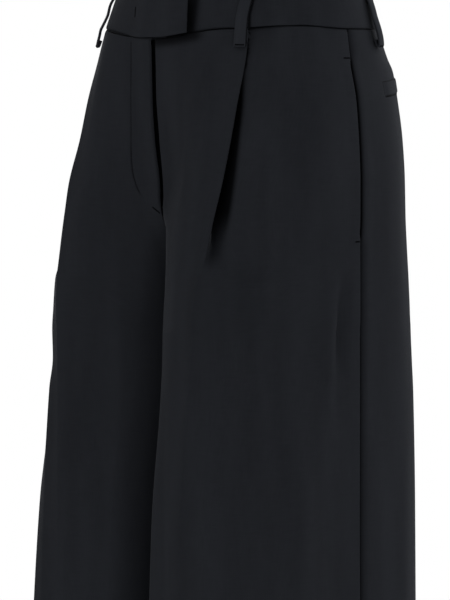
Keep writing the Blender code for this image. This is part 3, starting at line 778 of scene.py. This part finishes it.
# ------------------------------------------------------------------ belt loops
LOOP = ((0.4, 15.3), (1.9, 11), (2.3, 6.5), (1.6, 1.5), (1.2, -2), (1.8, -7), (2.6, -12.5), (3.3, -16),
        (2.8, -21), (2.9, -27), (2.6, LOOP_LOW), (0.9, -31.8), (0.3, -26))
SIDE_LOOP = ((0.5, 15.3), (2.2, 10), (2.9, 3), (3.1, -5), (4.2, -13), (4.6, -20), (4.2, -27), (3.0, LOOP_LOW),
             (0.9, -31.7), (0.3, -26))


def reach(t, z):
    """How far the panels stand outside the band's lower edge at t degrees."""
    edge = band_point(t, 0.0, 0.0)[:2]
    n = band_point(t, 0.0, 1.0)[:2] - edge
    line = sections(np.array([min(z, BAND_LOW)]), FRONT_PLAN + BACK_PLAN[1:])[0]
    off = line - edge
    along, out = off @ np.array([-n[1], n[0]]), off @ n
    hit = (along[:-1] * along[1:] < 0) & (out[:-1] > -40)
    if hit.any():
        a0, a1, o0, o1 = along[:-1][hit], along[1:][hit], out[:-1][hit], out[1:][hit]
        return float((o0 + (o1 - o0) * a0 / (a0 - a1)).max())
    return float(out[np.argmin(np.abs(along))])


def rounded(points, steps):
    """A smooth path through points, evenly spaced."""
    p = np.array(points, float)
    for _ in range(3):
        q = [p[0]]
        for a, b in zip(p[:-1], p[1:]):
            q += [0.75 * a + 0.25 * b, 0.25 * a + 0.75 * b]
        p = np.array(q + [p[-1]])
    d = np.concatenate([[0], np.cumsum(np.linalg.norm(np.diff(p, axis=0), axis=1))])
    w = np.linspace(0, d[-1], steps)
    return np.stack([np.interp(w, d, p[:, k]) for k in range(p.shape[1])], 1)


LOOP_PROFILE = ((-1.0, 0.0), (-0.98, 0.55), (-0.93, 0.92), (-0.82, 1.0), (-0.76, 0.82), (-0.70, 1.0), (-0.3, 1.06),
                (0.3, 1.06), (0.70, 1.0), (0.76, 0.82), (0.82, 1.0), (0.93, 0.92), (0.98, 0.55), (1.0, 0.0),
                (0.98, -0.55), (0.93, -0.92), (0.4, -1.0), (-0.4, -1.0), (-0.93, -0.92), (-0.98, -0.55))


def belt_loop(name, t, strap, lean, mirror):
    rows = []
    for out, z in strap:
        share = max(0.0, (z - BAND_LOW) / (BAND_TOP - BAND_LOW))
        p = band_point(t, share, 0.0)[:2]
        n = band_point(t, share, 1.0)[:2] - p
        p = p + n * max(0.0, reach(t, z)) * (1 - float(smooth(BAND_LOW, 10, z)))
        aside = lean * min(1.0, max(0.0, (z + 4) / 19))
        rows.append([*(p + n * (out + BAND_THICK / 2 + LOOP_THICK / 2) + np.array([-n[1], n[0]]) * aside), z])
    path = rounded(rows, 56)
    n2 = band_point(t, 0.5, 1.0)[:2] - band_point(t, 0.5, 0.0)[:2]
    side = np.array([-n2[1], n2[0], 0.0])
    run = np.gradient(path, axis=0)
    run /= np.linalg.norm(run, axis=1, keepdims=True)
    out = np.cross(run, side)
    if out[20] @ np.array([*n2, 0]) < 0:
        out = -out
    prof = np.array(LOOP_PROFILE)
    rings = (path[:, None, :] + side[None, None, :] * prof[None, :, :1] * LOOP_WIDE / 2
             + out[:, None, :] * prof[None, :, 1:] * LOOP_THICK / 2)
    uv = np.stack(np.broadcast_arrays(prof[None, :, 0] * LOOP_WIDE / 2, -path[:, None, 2]), -1).reshape(-1, 2)
    if mirror:
        rings = rings * np.array([-1, 1, 1])
    # a loop's back edge and the side next the band stay in its own shade
    shade = np.where(prof[:, 0] > 0.9, 0.85, np.where(prof[:, 1] < -0.5, 0.5, 0.0))
    ob = tube(f"cloth_{name}", rings, LOOP_WOOL, mirror, uv, deep=np.broadcast_to(shade[None, :], rings.shape[:2]))
    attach(ob, "root")
    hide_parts(name)
    return ob, path, side, out


TURNING = band_turning()
LOOPS = {}
for label, mirror in (("left", False), ("right", True)):
    LOOPS[f"belt_loop_front_{label}"] = belt_loop(f"belt_loop_front_{label}", LOOP_AT, LOOP, LOOP_LEAN, mirror)
    LOOPS[f"belt_loop_side_{label}"] = belt_loop(f"belt_loop_side_{label}", 112.0, SIDE_LOOP, 0.0, mirror)
LOOPS["belt_loop_back"] = belt_loop("belt_loop_back", 180.0, LOOP, 0.0, False)


# ------------------------------------------------------------------ pocket facings, welts, shield
def surface_row(z, arc):
    """Plan point and outward direction at a distance from the side seam, + to the back."""
    line = sections(np.array([z]), BACK_PLAN if arc >= 0 else FRONT_PLAN[::-1])[0]
    left = abs(arc)
    d = np.linalg.norm(np.diff(line, axis=0), axis=1)
    w = np.concatenate([[0], np.cumsum(d)])
    k = min(int(np.searchsorted(w, left, side="right")) - 1, len(d) - 1)
    run = (line[k + 1] - line[k]) / d[k] * (1 if arc >= 0 else -1)
    p = line[k] + (line[k + 1] - line[k]) * (left - w[k]) / d[k]
    return p, np.array([run[1], -run[0]])


def on_back(name, arcs, heights, out, mirror, outer, inner, deep):
    grid = []
    for row in heights:
        line = []
        for arc in arcs:
            z = row(arc)
            p, n = surface_row(z, arc)
            q = p + n * out
            line.append([-q[0] if mirror else q[0], q[1], z])
        grid.append(line)
    grid = np.array(grid)
    uv = np.stack([np.broadcast_to(np.array(arcs)[None, :], grid.shape[:2]), grid[..., 2]], -1)
    deep = np.broadcast_to(deep, grid.shape[:2])
    ob, face = shell(f"cloth_{name}", grid, outer, inner, WOOL, mirror, uv, coarse=1, deep=deep)
    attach(ob, "root")
    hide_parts(name)
    return ob, face


def welt_line(drop):
    return lambda arc: WELT_TOP - drop - WELT_RISE * (1 - (arc - WELT_FROM) / WELT_LONG) + WELT_RISE / 2


WELTS, FACINGS = {}, {}
for label, mirror in (("left", False), ("right", True)):
    arcs = list(WELT_FROM + WELT_LONG * np.linspace(0, 1, 65))
    drops = [0, 0.5, 1.2, 2.5, 5, 7.5, 10, 12.5, 13.8, 14.5, 15]
    e = np.minimum(np.array(drops)[:, None], (WELT_HIGH - np.array(drops))[:, None])
    ends = np.minimum(np.array(arcs) - WELT_FROM, WELT_FROM + WELT_LONG - np.array(arcs))[None, :]
    outer = 0.6 - 0.9 * (1 - np.clip(e / 1.6, 0, 1)) ** 2
    outer = (outer + 0.5) * smooth(0, 9, ends) - 0.5
    # painted shade in the ditches along the welt's top and bottom edges
    deep = (1 - np.clip(e / 1.3, 0, 1)) * smooth(0, 3, ends)
    WELTS[label] = on_back(f"back_welt_{label}", arcs, [welt_line(k) for k in drops], WELT_OUT, mirror, outer, 0.6, deep)
    arcs = list(np.linspace(-FACING_HALF, FACING_HALF, 17))
    rows = [lambda arc, z=z: z for z in np.linspace(POCKET_TOP, POCKET_LOW, 36)]
    # the pocket facing, seen only through the mouth's gap, is painted in full shade
    FACINGS[label] = on_back(f"pocket_facing_{label}", arcs, rows, -2.4, mirror, 0.6, 0.6, 1.0)


def fly_shield():
    grid = []
    for z in np.linspace(-27.0, -184.0, 54):
        pts = sections(np.array([z]), FRONT_PLAN[:30])[0]
        line = []
        for x in np.linspace(SHIELD_FROM, SHIELD_TO, 19):
            bow = SHIELD_BOW * float(smooth(-27, -50, z) * smooth(-192, -165, z))
            line.append([x, float(np.interp(abs(x), pts[:, 0], pts[:, 1])) + SHIELD_IN + bow, z])
        grid.append(line)
    grid = np.array(grid)
    uv = grid[..., [0, 2]]
    # the shield, seen only in the fly's gap, is painted in full shade
    ob, _ = shell("cloth_fly_shield", grid, 0.6, 0.6, WOOL, False, uv, coarse=1, deep=np.ones(grid.shape[:2]))
    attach(ob, "root")
    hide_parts("fly_shield")
    return ob


SHIELD = fly_shield()


# ------------------------------------------------------------------ stitches
def point_on(name, arc, height):
    """Point on a panel's face at a distance from its first column, and the way out."""
    _, face, s, zs = PANELS[name]

    def at(q, z):
        rows = [r for r in range(len(zs)) if abs(zs[r] - z) < 14]
        line = np.array([[np.interp(q, s[r], face[r, :, k]) for k in range(3)] for r in rows])[::-1]
        return np.array([np.interp(z, line[:, 2], line[:, k]) for k in range(3)])
    p = at(arc, height)
    n = np.cross(at(arc + 1, height) - at(max(arc - 1, 0), height), at(arc, height + 1) - at(arc, height - 1))
    n /= np.linalg.norm(n)
    return p, n if n[:2] @ p[:2] > 0 else -n


def tack(points, outs, tall, step=0.55, lift=0.0):
    """A bar of close threads across the line through points."""
    points = np.array([p + lift * o for p, o in zip(points, outs)])
    d = np.concatenate([[0], np.cumsum(np.linalg.norm(np.diff(points, axis=0), axis=1))])
    made = []
    for k, w in enumerate(np.arange(0.3, d[-1] - 0.2, step)):
        p = np.array([np.interp(w, d, points[:, i]) for i in range(3)])
        q = np.array([np.interp(min(w + 0.5, d[-1]), d, points[:, i]) for i in range(3)])
        o = np.array([np.interp(w, d, np.array(outs)[:, i]) for i in range(3)])
        o /= np.linalg.norm(o)
        run = (q - p) / max(np.linalg.norm(q - p), 1e-9)
        across = np.cross(run, o)
        across /= np.linalg.norm(across)
        reach_out = tall * (0.5 + 0.04 * ((k * 7) % 3 - 1))
        made.append((p - across * reach_out, p + across * reach_out, o))
    return made


def sew(name, stitches, radius):
    ob = threads(name, stitches, radius, THREAD)
    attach(ob, "root")
    return ob


# the fly's line, one stitch after another
walk = [point_on("front_right", float(fly_line(z)), float(z)) for z in np.linspace(-27, -171, 110)]
line = np.array([p for p, _ in walk])
outs = np.array([o for _, o in walk])
far = np.concatenate([[0], np.cumsum(np.linalg.norm(np.diff(line, axis=0), axis=1))])


def on_line(w):
    return np.array([np.interp(w, far, line[:, k]) for k in range(3)])


row = []
for w in np.arange(0.5, far[-1] - 2.4, 2.5):
    o = np.array([np.interp(w + 1, far, outs[:, k]) for k in range(3)])
    row.append((on_line(w), on_line(w + 2.05), o))
sew("stitches_fly_line", row, 0.22)

# bars at the fly's foot, the pocket mouths, the tab and the belt loops
bars = []
ends = [point_on("front_right", float(a), float(z)) for a, z in zip(np.linspace(8.6, 1.2, 7), np.linspace(-183.5, -189.6, 7))]
bars += tack([p for p, _ in ends], [o for _, o in ends], 1.7)
for label in ("left", "right"):
    name = f"front_{label}"
    _, _, s, zs = PANELS[name]
    for height, reach_in in ((-43.2, 9.0), (-214.0, 6.5)):
        total = float(s[int(np.argmin(np.abs(zs - height))), -1])
        ends = [point_on(name, total - d, height) for d in np.linspace(0.9, reach_in, 7)]
        bars += tack([p for p, _ in ends], [o for _, o in ends], 1.7, lift=0.02)
ends = []
for share in np.linspace(0.775, 0.50, 7):
    t = 347.2 + 1.2 * (0.775 - share) / 0.275
    base = TAB_STEP * float(smooth(343, 358, t)) + BAND_THICK / 2 + 0.03
    p = band_point(t, share, base)
    ends.append((p, band_point(t, share, base + 1) - p))
bars += tack([p for p, _ in ends], [o for _, o in ends], 2.4)
for key, (_, path, across, outward) in LOOPS.items():
    mirror = key.endswith("right")
    low = int(np.argmin(path[:, 2]))
    k = int(np.argmin(np.abs(path[:low, 2] - (LOOP_LOW + 1.4))))
    flip = np.array([-1.0 if mirror else 1.0, 1.0, 1.0])
    ends = [((path[k] + across * d + outward[k] * LOOP_THICK * 0.53) * flip, outward[k] * flip)
            for d in np.linspace(-4.6, 4.6, 7)]
    bars += tack([p for p, _ in ends], [o for _, o in ends], 1.5)
sew("stitches_bars", bars, 0.24)


# ------------------------------------------------------------------ stage and light
def stage():
    bpy.ops.mesh.primitive_plane_add(size=1, location=(0, 0, HEM / 1000 - 0.045))
    floor = bpy.context.object
    floor.name = "floor"
    floor.scale = (3.4, 3.4, 1)
    mat = bpy.data.materials.new("pale_floor")
    mat.use_nodes = True
    p = mat.node_tree.nodes["Principled BSDF"]
    p.inputs["Base Color"].default_value = (0.82, 0.82, 0.82, 1)
    p.inputs["Roughness"].default_value = 0.8
    floor.data.materials.append(mat)
    world = bpy.data.worlds.new("studio")
    bpy.context.scene.world = world
    world.use_nodes = True
    bg = world.node_tree.nodes["Background"]
    bg.inputs["Color"].default_value = (1, 1, 1, 1)
    bg.inputs["Strength"].default_value = 1.0


def soft_light(name, azimuth, elevation, distance, size, power):
    """A soft box; azimuth as for a camera, 0 in front of the wearer."""
    a, e = math.radians(azimuth), math.radians(elevation)
    where = Vector((math.sin(a) * math.cos(e), -math.cos(a) * math.cos(e), math.sin(e))) * distance
    where += Vector((0, 0, -0.35))
    data = bpy.data.lights.new(name, "AREA")
    data.shape = "RECTANGLE"
    data.size, data.size_y = size
    data.energy = power
    ob = bpy.data.objects.new(name, data)
    bpy.context.scene.collection.objects.link(ob)
    ob.location = where
    ob.rotation_euler = (Vector((0, 0, -0.35)) - where).to_track_quat("-Z", "Y").to_euler()


stage()
soft_light("soft_box_right", -60, 10, 2.6, (1.0, 1.8), 2.5)
soft_light("soft_box_front", 20, 10, 2.6, (1.0, 1.8), 3.0)
soft_light("soft_box_low", 5, -16, 1.5, (0.9, 0.6), 1.8)
soft_light("soft_box_left", 100, 10, 2.6, (1.0, 1.8), 4.0)
soft_light("soft_box_back", 162, 10, 2.6, (1.0, 1.8), 24.0)
soft_light("soft_box_top", 168, 40, 1.5, (0.6, 0.6), 8.0)
bpy.context.scene.view_settings.view_transform = "Standard"
bpy.context.scene.view_settings.look = "None"
